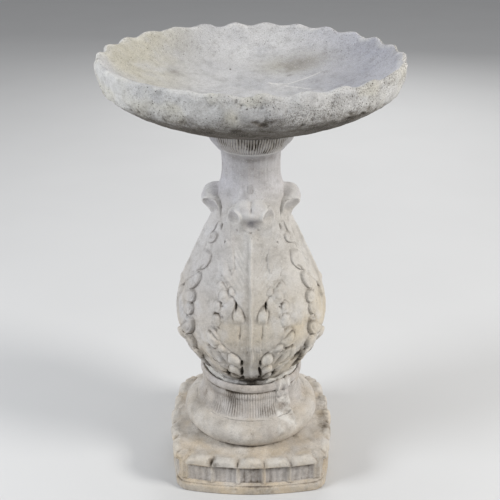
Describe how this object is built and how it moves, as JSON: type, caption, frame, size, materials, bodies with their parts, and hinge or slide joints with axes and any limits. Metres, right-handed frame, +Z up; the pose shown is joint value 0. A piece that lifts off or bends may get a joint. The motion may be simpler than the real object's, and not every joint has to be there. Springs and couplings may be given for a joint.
{
  "type": "bird bath",
  "caption": "Pedestal bird bath in cast stone: a square base, a baluster carved with acanthus leaves and a shallow round bowl with a scalloped rim.",
  "frame": {"origin": "on the ground under the middle of the base", "axes": "+Z up, the front with a carved leaf facing -Y, +X to the right seen from the front"},
  "size_m": [0.494, 0.491, 0.762],
  "materials": {
    "base_stone": "weathered cast stone, warm buff, fine pits",
    "mortar": "rough pale grey mortar",
    "dowel_steel": "dull steel with light rust",
    "baluster_stone": "weathered cast stone, cream grey, dirt in the carving",
    "pin_steel": "drawn steel, slightly tarnished",
    "bowl_stone": "weathered cast stone, pale grey, pitted and stained"
  },
  "bodies": {
    "pedestal": {"base": "base_stone", "mortar_bed": "mortar", "lower_dowel": "dowel_steel", "baluster": "baluster_stone"},
    "locating_pin": {"bowl_pin": "pin_steel"},
    "basin": {"bowl": "bowl_stone"}
  },
  "joints": [
    {"name": "bowl_turn", "type": "hinge", "parent": "pedestal", "child": "locating_pin", "pos_m": [0, 0, 0.63], "axis": [0, 0, 1], "continuous": true},
    {"name": "bowl_lift", "type": "slide", "parent": "locating_pin", "child": "basin", "axis": [0, 0, 1], "range_m": [0, 0.12]}
  ]
}
